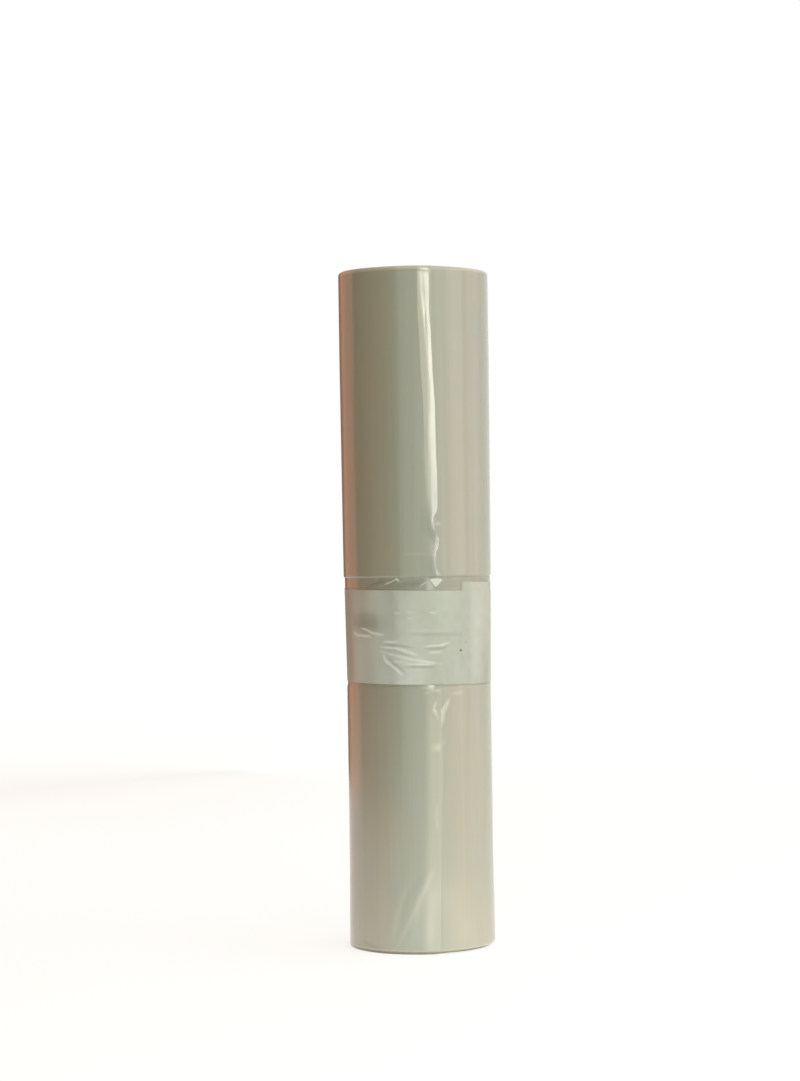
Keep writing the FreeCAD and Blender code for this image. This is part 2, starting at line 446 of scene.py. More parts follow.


# Thin white paper, slightly mottled, with painted light, a painted cool reflection and a painted
# sheen towards the front. It has painted highlights along the tape's creases and painted shade in
# their grooves.
def makePaper(finish):
    material, tree = newMaterial("paperStrip")
    place = tree.add("ShaderNodeTexCoord", output="Object")
    fibres = tree.add("ShaderNodeTexNoise", {}, {
        "Vector": place, "Scale": finish["fibreScale"], "Detail": 5.0, "Roughness": 0.7,
    })
    mottle = tree.add("ShaderNodeTexNoise", {}, {
        "Vector": place, "Scale": finish["mottleScale"], "Detail": 3.0,
    })
    mottled = mottle.out("Fac") * finish["mottleGain"] - finish["mottleShift"]
    azimuth = tree.azimuth(tree.add("ShaderNodeSeparateXYZ", {}, {"Vector": place}))
    # Painted reflection, light and sheen across the front, by azimuth
    frontCoolMask = tree.ramp(azimuth, *finish["coolReflectionFrom"])
    begun = tree.ramp(azimuth, *finish["frontLightFrom"])
    leaving = 1 - tree.ramp(azimuth, *finish["frontLightTo"])
    sheen = begun * (1 - tree.ramp(azimuth, *finish["sheenTo"])) * finish["sheenShare"]
    # Creases get a painted highlight, grooves painted shade
    lifted = tree.lifted()
    up = tree.maths("MULTIPLY", lifted, finish["creaseHighlightShare"], clamp=True)
    down = tree.maths("MULTIPLY", lifted, -finish["creaseShadeShare"], clamp=True)

    tone = tree.colourMix(mottled, finish["clean"], finish["shaded"])
    tone = tree.colourMix(frontCoolMask * leaving, tone, finish["coolReflection"])
    tone = tree.colourMix(begun * leaving, tone, finish["frontLight"])
    tone = tree.colourMix(sheen, tone, finish["sheen"])
    tone = tree.colourMix(up, tone, finish["creaseHighlight"])
    tone = tree.colourMix(down, tone, finish["pressed"])
    for (x, y), size in flecks.values():
        spotAzimuth, spotHeight = fromPhoto(x, y, filmRadius)
        spot = aroundRoll(spotAzimuth, filmRadius, spotHeight)
        away = tree.add(
            "ShaderNodeVectorMath", {"operation": "DISTANCE"}, {0: place, 1: spot}, output="Value"
        )
        ragged = away + fibres.out("Fac") * finish["fleckRagged"]
        onFleck = 1 - tree.ramp(ragged, size, size + finish["fleckSoft"])
        tone = tree.colourMix(onFleck, tone, finish["fleck"])
    bump = tree.add("ShaderNodeBump", {}, {
        "Strength": 0.6, "Distance": finish["bump"], "Height": fibres.out("Fac"),
    })
    shader = tree.add("ShaderNodeBsdfPrincipled", {}, {
        "Base Color": tone,
        "Roughness": finish["roughness"] + finish["roughnessReach"] * fibres.out("Fac"),
        "Subsurface Weight": finish["scatter"],
        "Subsurface Scale": finish["scatterDepth"],
        "Normal": bump,
    })
    tree.add("ShaderNodeOutputMaterial", {}, {"Surface": shader})
    return material


tapeFinish = {
    "clear": colour(0.5, 0.5, 0.43),
    "paintedSheen": colour(0.93, 0.96, 0.88),
    "grooveShade": colour(0.16, 0.15, 0.11),
    "glueScale": 260.0,
    "glueFrom": (0.4, 0.75),
    "alpha": 0.035,
    "alphaReach": 0.03,
    "alphaGlint": 0.75,
    "alphaShade": 0.3,
    "fadeIn": (-44.0, -20.0),
    "backFrom": -90.0,
    "roughness": 0.14,
    "roughnessReach": 0.1,
    "bump": 0.00005,
}


# Clear tape: nearly see-through, with a painted whitish glint, made more opaque, where a fold lifts
# its margin, and painted shade where the margin is pressed down. It fades in from its torn start, and
# is whole at the back.
def makeTape(finish):
    material, tree = newMaterial("clearTape")
    place = tree.add("ShaderNodeTexCoord", output="Object")
    glue = tree.add("ShaderNodeTexNoise", {}, {
        "Vector": place, "Scale": finish["glueScale"], "Detail": 4.0, "Roughness": 0.6,
    })
    cloudy = tree.ramp(glue.out("Fac"), *finish["glueFrom"])
    azimuth = tree.azimuth(tree.add("ShaderNodeSeparateXYZ", {}, {"Vector": place}))
    atBack = tree.maths("LESS_THAN", azimuth, finish["backFrom"])
    begun = tree.maths("MAXIMUM", tree.ramp(azimuth, *finish["fadeIn"]), atBack)
    alpha = (finish["alpha"] + finish["alphaReach"] * cloudy) * begun
    # Folds get a painted glint and grooves painted shade, both more opaque
    lifted = tree.lifted()
    up = tree.maths("MAXIMUM", lifted, 0.0, clamp=True)
    down = tree.maths("MULTIPLY", lifted, -1.0, clamp=True)
    tone = tree.colourMix(up, finish["clear"], finish["paintedSheen"])
    tone = tree.colourMix(down, tone, finish["grooveShade"])
    bump = tree.add("ShaderNodeBump", {}, {
        "Strength": 0.5, "Distance": finish["bump"], "Height": glue.out("Fac"),
    })
    shader = tree.add("ShaderNodeBsdfPrincipled", {}, {
        "Base Color": tone,
        "Roughness": finish["roughness"] + finish["roughnessReach"] * cloudy,
        "Alpha": alpha + finish["alphaGlint"] * up + finish["alphaShade"] * down,
        "Normal": bump,
    })
    tree.add("ShaderNodeOutputMaterial", {}, {"Surface": shader})
    return material


filmMaterial = makeFilm(filmFinish, "bagFilm", 0.0)
endMaterial = makeFilm(filmFinish, "turnEdges", filmFinish["turnTone"])
paperMaterial = makePaper(paperFinish)
tapeMaterial = makeTape(tapeFinish)
print("materials made")


# The wound film

rollValues = {
    "length": rollHigh.z,
    "eyeRadius": 7.0 * mm,
    "rimRound": 1.3 * mm,
    "faceRecess": 0.6 * mm,
    "faceSteepness": 6.0,
    "baseRadius": rollHigh.y - 0.95 * mm,
    "lowerRadius": rollHigh.y - 1.3 * mm,
    "waistLowRadius": rollHigh.y - 1.66 * mm,
    "waistHighRadius": rollHigh.y - 1.0 * mm,
    "upperRadius": rollHigh.y - 0.5 * mm,
    "topRadius": rollHigh.y - 0.02 * mm,
    "baseRise": 45.0 * mm,
    "waistRise": 0.5 * mm,
    "topRise": 95.0 * mm,
    "tapeLow": tapeLow.z,
    "tapeHigh": tapeHigh.z,
    "marginWidth": 6.6 * mm,
    "shineAzimuth": 9.5,
    "shineBlend": 2.4 * mm,
    "pressedShare": 0.96,
    "weld": 0.001 * mm,
    "columnCrowding": 0.8,
    "columns": 330,
    "sideRows": 250,
    "rimRows": 8,
    "faceRows": 6,
    "eyeRows": 6,
}
# The flat beside the free edge which turns to the light: height and width in
# millimetres. Below 0 the flat and the bend beside it shrink away.
shineFlat = [
    (0, -2.4), (150, -2.4), (160, -1.0), (166, -0.3), (186, -0.3), (191, 0.6), (198, 1.9),
    (220, 1.9), (237, 1.5), (254, 1.0), (272, 0.8), (281, 1.9), (300, 3.6),
]
# Share of the rows and share of the height: rows are close at the tape's edges
rowSpread = [
    (0.0, 0.0), (0.24, 0.2), (0.36, 0.374), (0.4, 0.388), (0.43, 0.535), (0.475, 0.551),
    (0.73, 0.667), (0.93, 0.975), (1.0, 1.0),
]


def makeRoll(values):
    tree = ShapeTree("woundFilm", values, filmMaterial)
    g = tree.given
    rowTotal = g["faceRows"] * 2 + g["rimRows"] * 2 + g["sideRows"] + g["eyeRows"]
    grid = tree.add("GeometryNodeMeshGrid", {}, {
        "Size X": 1.0, "Size Y": 1.0, "Vertices X": g["columns"] + 2, "Vertices Y": rowTotal + 1,
    })
    place = tree.add("ShaderNodeSeparateXYZ", {}, {"Vector": grid.out("UV Map")})
    row = place.out("Y") * rowTotal
    column = place.out("X") * (g["columns"] + 1)

    # Each row of the grid belongs to one stretch of the closed section: bottom
    # face, rim, side, rim, top face and the wall of the eye.
    def stretch(begin, count):
        return tree.maths("DIVIDE", row - begin, count, clamp=True), begin + count

    bottomFace, reached = stretch(0.0, g["faceRows"])
    bottomRim, reached = stretch(reached, g["rimRows"])
    side, reached = stretch(reached, g["sideRows"])
    topRim, reached = stretch(reached, g["rimRows"])
    topFace, reached = stretch(reached, g["faceRows"])
    eyeWall, reached = stretch(reached, g["eyeRows"])
    quarter = math.pi / 2
    rim = g["rimRound"]
    sideShare = tree.add("ShaderNodeFloatCurve", {"curve": rowSpread}, {"Value": side})
    steepness = g["faceSteepness"]
    bottomSink = tree.maths("MINIMUM", bottomFace * (1 - bottomFace) * steepness, 1.0)
    topSink = tree.maths("MINIMUM", topFace * (1 - topFace) * steepness, 1.0)
    bottomArc = rim * (1 - tree.maths("COSINE", bottomRim * quarter))
    sideHeight = bottomArc + (g["length"] - rim * 2) * sideShare
    topArc = rim * tree.maths("SINE", topRim * quarter)
    height = sideHeight + topArc - g["length"] * eyeWall
    height = height + g["faceRecess"] * (bottomSink - topSink)

    waistLow, waistHigh = g["tapeLow"] - g["waistRise"], g["tapeHigh"] + g["waistRise"]
    radius = g["baseRadius"]
    for before, after, begin, end, shape in (
        ("baseRadius", "lowerRadius", 0.0, g["baseRise"], "SMOOTHSTEP"),
        ("lowerRadius", "waistLowRadius", waistLow, g["tapeLow"], "SMOOTHSTEP"),
        ("waistLowRadius", "waistHighRadius", g["tapeLow"], g["tapeHigh"], "LINEAR"),
        ("waistHighRadius", "upperRadius", g["tapeHigh"], waistHigh, "SMOOTHSTEP"),
        ("upperRadius", "topRadius", waistHigh, waistHigh + g["topRise"], "LINEAR"),
    ):
        radius = radius + (g[after] - g[before]) * tree.ramp(sideHeight, begin, end, shape)
    faceReach = 1 - bottomFace + topFace
    inset = (radius - rim - g["eyeRadius"]) * faceReach
    inset = inset + rim * (1 - tree.maths("SINE", bottomRim * quarter)) * (1 - topFace)
    inset = inset + rim * (1 - tree.maths("COSINE", topRim * quarter))

    # Columns crowd together at the free edge. The last one steps down to the
    # turn below, where the grid closes on its first column.
    turn = tree.maths("MINIMUM", column / g["columns"], 1.0)
    turn = turn - g["columnCrowding"] * tree.maths("SINE", turn * (2 * math.pi)) / (2 * math.pi)
    below = tree.maths("GREATER_THAN", column, g["columns"] + 0.5)
    edgeAngle = tree.follow(sideHeight / mm, lapEdge)
    flat = tree.follow(sideHeight / mm, shineFlat) * mm
    fromEdge = (1 - turn) * (2 * math.pi) * radius
    # The margin leaves the roll in a straight line and bends to the light at its edge,
    # except under the tape, which presses it down
    bend = g["marginWidth"] - (edgeAngle - g["shineAzimuth"]) * math.radians(1) * radius
    tangent = tree.maths("MAXIMUM", g["marginWidth"] - fromEdge, 0.0)
    bent = tree.maths("MAXIMUM", flat + g["shineBlend"] - fromEdge, 0.0)
    straight = tree.maths("MAXIMUM", flat - fromEdge, 0.0)
    bentRise = bend * (bent * bent - straight * straight) / g["shineBlend"]
    lift = (tangent * tangent - bentRise) / (radius * 2)
    onSide = tree.maths("SINE", bottomRim * quarter) * tree.maths("COSINE", topRim * quarter)
    aboveTape = tree.ramp(sideHeight, g["tapeHigh"], waistHigh)
    pressed = tree.ramp(sideHeight, waistLow, g["tapeLow"]) * (1 - aboveTape)
    free = 1 - g["pressedShare"] * pressed
    outward = radius - inset + lift * onSide * (1 - below) * free
    position = tree.polar(outward, edgeAngle + turn * 360, height)
    wound = tree.add("GeometryNodeSetPosition", {}, {"Geometry": grid, "Position": position})
    closed = tree.add("GeometryNodeMergeByDistance", {}, {"Geometry": wound, "Distance": g["weld"]})
    tree.finishShape(closed)
    return tree.makePiece("bagRoll")


# The edges of the turns on an end of the roll: one long spiral of film. Inwards is -1
# on the top and 1 on the base.

turnValues = {
    "turns": 58.0,
    "stepsPerTurn": 72,
    "innerRadius": 7.5 * mm,
    "outerRadius": rollHigh.y - 2.7 * mm,
    "edgeWidth": 0.19 * mm,
    "edgeStretch": 3.0,
    "arcSteps": 5,
    "height": rollHigh.z - rollValues["faceRecess"],
    "inwards": -1.0,
    "unevenness": 0.5 * mm,
    "turnScale": 900.0,
    "sideScale": 60.0,
    "turnShare": 0.65,
}


def makeTurnEdges(name, values):
    tree = ShapeTree(name, values, endMaterial)
    g = tree.given
    spiral = tree.add("GeometryNodeCurveSpiral", {}, {
        "Resolution": g["stepsPerTurn"], "Rotations": g["turns"], "Start Radius": g["innerRadius"],
        "End Radius": g["outerRadius"], "Height": 0.0,
    })
    upright = tree.add("GeometryNodeSetCurveNormal", {"mode": "Z_UP"}, {"Curve": spiral})
    arc = tree.add("GeometryNodeCurveArc", {"mode": "RADIUS"}, {
        "Resolution": g["arcSteps"], "Radius": g["edgeWidth"],
        "Start Angle": (1 - g["inwards"]) * (math.pi / 2), "Sweep Angle": math.pi,
    })
    stretched = tree.add("ShaderNodeCombineXYZ", {}, {"X": 1.0, "Y": g["edgeStretch"], "Z": 1.0})
    profile = tree.add("GeometryNodeTransform", {}, {"Geometry": arc, "Scale": stretched})
    film = tree.add("GeometryNodeCurveToMesh", {}, {"Curve": upright, "Profile Curve": profile})
    place = tree.add("GeometryNodeInputPosition")
    apart = tree.add("ShaderNodeSeparateXYZ", {}, {"Vector": place})
    turnNoise = tree.add("ShaderNodeTexNoise", {"noise_dimensions": "1D"}, {
        "W": tree.axisDistance(apart), "Scale": g["turnScale"], "Detail": 2.0,
    })
    sideNoise = tree.add("ShaderNodeTexNoise", {}, {
        "Vector": place, "Scale": g["sideScale"], "Detail": 2.0,
    })
    turnPart = turnNoise.out("Fac") * g["turnShare"]
    sunk = (turnPart + sideNoise.out("Fac") * (1 - g["turnShare"])) * g["unevenness"]
    offset = tree.add("ShaderNodeCombineXYZ", {}, {"Z": g["height"] + sunk * g["inwards"]})
    moved = tree.add("GeometryNodeSetPosition", {}, {"Geometry": film, "Offset": offset})
    tree.finishShape(moved)
    return tree.makePiece(name)


# Creases and folds that the photo shows. Each has its points in the photo, its
# half width and its height, which is negative for a groove.
filmFolds = {
    "softFlat": ([(431, 542), (431, 558)], 1.4 * mm, 0.05 * mm),
    "faintLine": ([(402, 554), (429, 554)], 0.5 * mm, 0.03 * mm),
    "cornerTuck": ([(436, 524), (439.5, 524)], 0.5 * mm, 0.1 * mm),
    "hook": ([(436, 570), (437, 574), (439.4, 574.4)], 0.5 * mm, 0.15 * mm),
    "chevron": ([(436, 702), (433, 710), (438, 717)], 0.5 * mm, 0.16 * mm),
    "chevronRight": ([(449, 700), (443, 712), (442, 724)], 0.8 * mm, 0.2 * mm),
    "ledge": ([(430, 750), (436, 749), (444, 743)], 0.7 * mm, 0.14 * mm),
    "underBand": ([(420, 686), (430, 685), (440, 683)], 0.9 * mm, 0.05 * mm),
    "underBandLow": ([(424, 694), (433, 691), (440, 692)], 0.6 * mm, 0.05 * mm),
    "rightTuck": ([(452, 694), (464, 692)], 0.8 * mm, 0.05 * mm),
    "middleMark": ([(437, 804), (436, 818), (438, 832)], 0.6 * mm, 0.05 * mm),
    "lowFold": ([(434, 866), (420, 900), (413, 926)], 1.6 * mm, 0.035 * mm),
    "lowGroove": ([(425, 872), (407, 902), (402, 918)], 1.6 * mm, -0.03 * mm),
    "lowFlat": ([(436, 884), (431, 925), (430, 948)], 2.4 * mm, 0.03 * mm),
    "leftFold": ([(408, 884), (396, 920), (392, 944)], 1.6 * mm, 0.025 * mm),
    "baseCrease": ([(362, 941), (380, 949)], 0.7 * mm, -0.12 * mm),
    "rimGroove": ([(383, 270.2), (404, 269.6), (428, 270.0)], 0.4 * mm, -0.14 * mm),
    "topSplit": ([(422.6, 270), (423.6, 300), (425.2, 330), (426, 345)], 0.4 * mm, -0.035 * mm),
}
# Zones of painted highlight and sheen on the film, with no fold: they change the tone and not the
# shape
paintedSheenZones = {
    "fanBright": ([(434, 878), (430, 912), (428, 950)], 3.4 * mm, 0.02 * mm),
    "fanMiddle": ([(430, 886), (418, 922), (412, 950)], 2.2 * mm, 0.02 * mm),
    "fanEdge": ([(433, 872), (414, 912), (398, 948)], 1.1 * mm, 0.03 * mm),
    "footRight": ([(446, 880), (462, 925), (470, 944)], 6.0 * mm, 0.02 * mm),
    "topStrand": ([(417.5, 272), (422, 302), (426, 340), (429, 372)], 0.8 * mm, 0.12 * mm),
    "strandSide": ([(424, 440), (428, 480), (430, 512)], 1.2 * mm, 0.05 * mm),
}
# Ridges and grooves of the tape over the paper. The paper takes them too.
bandFolds = {
    "patch": ([(357, 622), (366, 623), (381, 624)], 3.4 * mm, -0.13 * mm),
    "creaseLow": ([(353, 632), (357, 635), (369.5, 636.5)], 0.45 * mm, 0.2 * mm),
    "creaseHigh": ([(360, 628), (366, 629.5), (372, 633), (383, 635)], 0.45 * mm, 0.2 * mm),
    "dashLeft": ([(393, 613.5), (400, 613.5)], 0.4 * mm, 0.08 * mm),
    "dashMiddle": ([(406, 612.8), (413, 612.8)], 0.4 * mm, 0.07 * mm),
    "dashRight": ([(429, 612.8), (436, 612.8)], 0.4 * mm, 0.08 * mm),
    "dashLow": ([(407, 618.3), (413, 618.3)], 0.4 * mm, 0.07 * mm),
    "longGroove": ([(404, 634), (434, 634.3), (463, 634)], 1.0 * mm, -0.05 * mm),
    "longRidge": ([(404, 631), (434, 631.3), (460, 631)], 0.6 * mm, 0.025 * mm),
    "fanTop": ([(383, 642), (398, 642)], 0.5 * mm, 0.14 * mm),
    "fanGroove": ([(385, 644.5), (400, 646), (413, 648)], 0.5 * mm, -0.09 * mm),
    "fanRidge": ([(380.5, 647), (397, 648.5), (410.5, 653), (417, 655.5)], 0.5 * mm, 0.18 * mm),
    "fanValley": ([(395, 651.5), (413, 657.3)], 0.45 * mm, -0.08 * mm),
    "fanLow": ([(380, 651.5), (413, 660), (442, 664)], 0.5 * mm, 0.12 * mm),
    "rightRidge": ([(424, 646.5), (442, 645.5), (449, 642.5)], 0.45 * mm, 0.14 * mm),
    "rightGroove": ([(426, 649), (444, 648), (448, 645.5)], 0.5 * mm, -0.08 * mm),
    "rightLow": ([(428, 653), (442, 652)], 0.5 * mm, 0.1 * mm),
    "diagonal": ([(383, 656), (386, 662), (391, 665.5), (395, 669), (402, 675)], 0.5 * mm, 0.24 * mm),
    "diagonalShade": ([(387, 658), (394, 664), (399, 668), (406, 674)], 0.6 * mm, -0.08 * mm),
    "thinLine": ([(388, 662), (404, 662)], 0.4 * mm, 0.1 * mm),
    "doubleRidge": ([(404, 664.3), (434, 664.5)], 0.4 * mm, 0.13 * mm),
    "doubleGroove": ([(405, 667), (435, 667)], 0.5 * mm, -0.1 * mm),
}
# Folds of the tape's margin on the film, above the paper
marginFolds = {
    "darkLeft": ([(366, 585), (378, 582)], 1.0 * mm, -0.07 * mm),
    "darkMiddle": ([(398, 584), (424, 584)], 1.5 * mm, -0.06 * mm),
    "heartLeft": ([(430.5, 579), (435.5, 586)], 0.7 * mm, 0.25 * mm),
    "heartRight": ([(441.7, 579), (435.5, 586)], 0.7 * mm, 0.25 * mm),
    "heartTop": ([(431, 579.4), (441, 579.4)], 0.8 * mm, 0.2 * mm),
    "heartFill": ([(436, 580), (435.6, 585)], 1.1 * mm, 0.2 * mm),
    "thinLine": ([(397, 578.3), (430, 578.3)], 0.35 * mm, 0.08 * mm),
    "leftFlat": ([(380, 586), (389, 579), (397, 582)], 0.6 * mm, 0.22 * mm),
    "slant": ([(417, 588), (429.5, 580)], 0.5 * mm, 0.2 * mm),
    "dash": ([(372, 578.3), (380, 578.3)], 0.4 * mm, 0.12 * mm),
}
# The share of a fold's length over which it runs down, and how high its ends are
foldEnds = {"share": 0.25, "height": 0.35}


# How high a set of folds stands at each azimuth (degrees) and height (metres). Each
# fold is lower towards its ends.
def foldHeight(folds, azimuths, heights, radius):
    total = np.zeros_like(azimuths)
    for points, width, rise in folds.values():
        spots = [fromPhoto(x, y, radius) for x, y in points]
        line = np.array([(math.radians(a) * radius, z) for a, z in spots])
        steps = np.diff(line, axis=0)
        lengths = np.linalg.norm(steps, axis=1)
        nearest = np.full_like(azimuths, np.inf)
        along = np.zeros_like(azimuths)
        passed = 0.0
        for begin, step, length in zip(line[:-1], steps, lengths):
            across, up = np.radians(azimuths) * radius - begin[0], heights - begin[1]
            share = np.clip((across * step[0] + up * step[1]) / length**2, 0, 1)
            away = np.hypot(across - share * step[0], up - share * step[1])
            closer = away < nearest
            nearest = np.where(closer, away, nearest)
            along = np.where(closer, passed + share * length, along)
            passed += length
        ends = np.clip(np.minimum(along, passed - along) / (foldEnds["share"] * passed), 0, 1)
        taper = foldEnds["height"] + (1 - foldEnds["height"]) * ends * ends * (3 - 2 * ends)
        total += rise * taper * np.exp(-((nearest / width) ** 2))
    return total


def meshPoints(piece):
    points = np.empty(len(piece.data.vertices) * 3)
    piece.data.vertices.foreach_get("co", points)
    return points.reshape(-1, 3)


def setMeshPoints(piece, points):
    piece.data.vertices.foreach_set("co", points.ravel())
    piece.data.update()


# Marks where a fold lifts the film or tape, up to 1, or presses it down, to -1
def setLifted(piece, rise, whole):
    attributes = piece.data.attributes
    lifted = attributes.get("lifted") or attributes.new("lifted", "FLOAT", "POINT")
    lifted.data.foreach_set("value", np.clip(rise / whole, -1, 1))


def azimuthsAndRadii(points):
    x, y = points[:, 0], points[:, 1]
    return np.degrees(np.arctan2(x, -y)), np.hypot(x, y)


# Slow waves that no wound film is free of: share, waves round the roll, turn of the
# wave over the roll's length, and where it starts
waves = [(1.0, 3, 9, 0.0), (0.6, 7, -14, 1.3), (0.35, 13, 5, 0.4)]
waveHeight = 0.03 * mm


def slowWaves(azimuths, heights):
    turn, along = np.radians(azimuths), heights / rollHigh.z
    return waveHeight * sum(
        share * np.sin(count * turn + drift * along + start) for share, count, drift, start in waves
    )


unevenRoll = {
    "baseLift": 1.1 * mm,
    "topSink": 0.5 * mm,
    "liftFrom": 8.0,
    "liftTo": 150.0,
    "liftHeight": 25.0 * mm,
    "liftGain": 1.4,
    "outsideFrom": 26.0 * mm,
    "outsideSoft": 4.0 * mm,
    "highestFold": 0.6 * mm,
    "wholeFold": 0.12 * mm,
}


# Folds and waves of the outer turns. They also lie a little askew: right of the free
# edge they stand off the ground and end lower at the top.
def uneven(piece, values):
    points = meshPoints(piece)
    azimuths, radii = azimuthsAndRadii(points)
    outside = np.clip((radii - values["outsideFrom"]) / values["outsideSoft"], 0, 1)
    folds = foldHeight(filmFolds, azimuths, points[:, 2], filmRadius)
    rise = np.minimum(folds + slowWaves(azimuths, points[:, 2]), values["highestFold"])
    points[:, :2] *= (1 + rise * outside / np.maximum(radii, mm))[:, None]
    span = (azimuths - values["liftFrom"]) / (values["liftTo"] - values["liftFrom"])
    askew = np.clip(np.sin(np.pi * np.clip(span, 0, 1)) * values["liftGain"], 0, 1)
    low = np.clip(1 - points[:, 2] / values["liftHeight"], 0, 1)
    high = np.clip(1 - (rollHigh.z - points[:, 2]) / values["liftHeight"], 0, 1)
    shift = values["baseLift"] * low * low - values["topSink"] * high * high
    points[:, 2] += shift * askew * outside
    # Heights of the painted sheen zones, kept with the folds for the film's tone
    paintedSheen = foldHeight(paintedSheenZones, azimuths, points[:, 2], filmRadius)
    setMeshPoints(piece, points)
    setLifted(piece, (folds + paintedSheen) * outside, values["wholeFold"])


bagRoll = makeRoll(rollValues)
uneven(bagRoll, unevenRoll)
topTurns = makeTurnEdges("topTurnEdges", turnValues)
baseValues = {**turnValues, "height": rollValues["faceRecess"], "inwards": 1.0}
baseTurns = makeTurnEdges("baseTurnEdges", baseValues)
print("film wound:", [len(piece.data.polygons) for piece in (bagRoll, topTurns, baseTurns)])


# The paper strip and the clear tape go round the roll in the same way

stripShared = {
    "filmLowRadius": rollValues["waistLowRadius"],
    "filmHighRadius": rollValues["waistHighRadius"],
    "tapeLow": tapeLow.z,
    "tapeHigh": tapeHigh.z,
}
paperValues = {
    **stripShared,
    "startAzimuth": 35.5,
    "sweep": 430.0,
    "top": paperHigh.z,
    "width": 41.0 * mm,
    "drop": 3.9 * mm,
    "clearance": 0.05 * mm,
    "growth": 0.15 * mm,
    "columns": 340,
    "rows": 130,
}
tapeValues = {
    **stripShared,
    "startAzimuth": -45.0,
    "sweep": 295.0,
    "top": tapeHigh.z,
    "width": tapeHigh.z - tapeLow.z,
    "drop": 0.0,
    "clearance": 0.4 * mm,
    "growth": 0.0,
    "columns": 300,
    "rows": 140,
}
thicknesses = {"paper": 0.12 * mm, "tape": 0.06 * mm}
# Share of the columns, share of the sweep: both are fine where the folds are
paperColumns = [(0.0, 0.0), (0.2, 0.58), (0.86, 0.87), (1.0, 1.0)]
tapeColumns = [(0.0, 0.0), (0.72, 0.45), (1.0, 1.0)]


def makeStrip(name, values, columnSpread, material, thickness):
    tree = ShapeTree(name, values, material)
    g = tree.given
    grid = tree.add("GeometryNodeMeshGrid", {}, {
        "Size X": 1.0, "Size Y": 1.0, "Vertices X": g["columns"] + 1, "Vertices Y": g["rows"] + 1,
    })
    place = tree.add("ShaderNodeSeparateXYZ", {}, {"Vector": grid.out("UV Map")})
    share = tree.add("ShaderNodeFloatCurve", {"curve": columnSpread}, {"Value": place.out("X")})
    turns = share * g["sweep"] / 360
    height = g["top"] - g["drop"] * turns - g["width"] * (1 - place.out("Y"))
    level = (height - g["tapeLow"]) / (g["tapeHigh"] - g["tapeLow"])
    film = g["filmLowRadius"] + (g["filmHighRadius"] - g["filmLowRadius"]) * level
    radius = film + g["clearance"] + g["growth"] * turns
    position = tree.polar(radius, g["startAzimuth"] + turns * 360, height)
    wound = tree.add("GeometryNodeSetPosition", {}, {"Geometry": grid, "Position": position})
    tree.finishShape(wound)
    return tree.makePiece(name, thickness)


# Height of the paper's upper edge, which drops as it goes round
def paperTop(azimuths):
    gone = (azimuths - paperValues["startAzimuth"]) % 360
    return paperValues["top"] - paperValues["drop"] * gone / 360


creases = {"deepest": 0.05 * mm, "highest": 0.5 * mm, "whole": 0.1 * mm}


# Both layers of the band take the same creases, so they stay clear of each other
def raiseFolds(piece, folds, values):
    points = meshPoints(piece)
    azimuths, radii = azimuthsAndRadii(points)
    rise = foldHeight(folds, azimuths, points[:, 2], bandRadius)
    rise += slowWaves(azimuths, points[:, 2])
    moved = np.clip(rise, -values["deepest"], values["highest"])
    points[:, :2] *= (1 + moved / radii)[:, None]
    setMeshPoints(piece, points)
    setLifted(piece, rise, values["whole"])


tapeShape = {
    "drape": 0.3 * mm,
    "drapeSoft": 0.5 * mm,
    "cornerCut": 15.0,
    "cornerHeight": 4.0 * mm,
    "cornerReach": 40.0,
    "marginShadeDepth": 0.03 * mm,
    "marginWhole": 0.2 * mm,
}


# Past the paper's edges the tape lies down on the film, and its upper corner is torn
# off askew. Only the margin above the paper shows its folds in its own tone, as painted glints and
# shade, and it takes painted shade where it lies down on the film.
def drapeTape(piece, values):
    points = meshPoints(piece)
    azimuths, radii = azimuthsAndRadii(points)
    top = paperTop(azimuths)
    twice = (azimuths - paperValues["startAzimuth"]) % 360 < paperValues["sweep"] - 360
    bottom = top - paperValues["width"] - paperValues["drop"] * twice
    beyond = np.maximum(points[:, 2] - top, bottom - points[:, 2])
    past = np.clip(beyond / values["drapeSoft"], 0, 1)
    down = values["drape"] * past**2 * (3 - 2 * past)
    margin = foldHeight(marginFolds, azimuths, points[:, 2], bandRadius)
    points[:, :2] *= (1 + (margin - down) / radii)[:, None]
    corner = np.clip(1 - (tapeHigh.z - points[:, 2]) / values["cornerHeight"], 0, 1)
    fromStart = (azimuths - tapeValues["startAzimuth"]) % 360
    nearStart = np.clip(1 - fromStart / values["cornerReach"], 0, 1)
    turn = np.radians(values["cornerCut"] * corner * nearStart)
    x, y = points[:, 0].copy(), points[:, 1].copy()
    points[:, 0] = x * np.cos(turn) - y * np.sin(turn)
    points[:, 1] = x * np.sin(turn) + y * np.cos(turn)
    setMeshPoints(piece, points)
    # Painted shade on the margin where it lies down on the film above the paper
    dark = values["marginShadeDepth"] * past * (points[:, 2] > top)
    setLifted(piece, margin - dark, values["marginWhole"])


paperStrip = makeStrip(
    "paperStrip", paperValues, paperColumns, paperMaterial, thicknesses["paper"]
)
clearTape = makeStrip("clearTape", tapeValues, tapeColumns, tapeMaterial, thicknesses["tape"])
raiseFolds(paperStrip, bandFolds, creases)
raiseFolds(clearTape, bandFolds, creases)
drapeTape(clearTape, tapeShape)
print("band made:", [len(piece.data.polygons) for piece in (paperStrip, clearTape)])

for piece, node, slotName in (
    (bagRoll, "bag_roll", "bag_film"),
    (topTurns, "bag_roll", "bag_film"),
    (baseTurns, "bag_roll", "bag_film"),
    (paperStrip, "paper_strip", "paper"),
    (clearTape, "clear_tape", "tape"),
):
    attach(piece, "root")
    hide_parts(node)


# Floor, cards and lamps

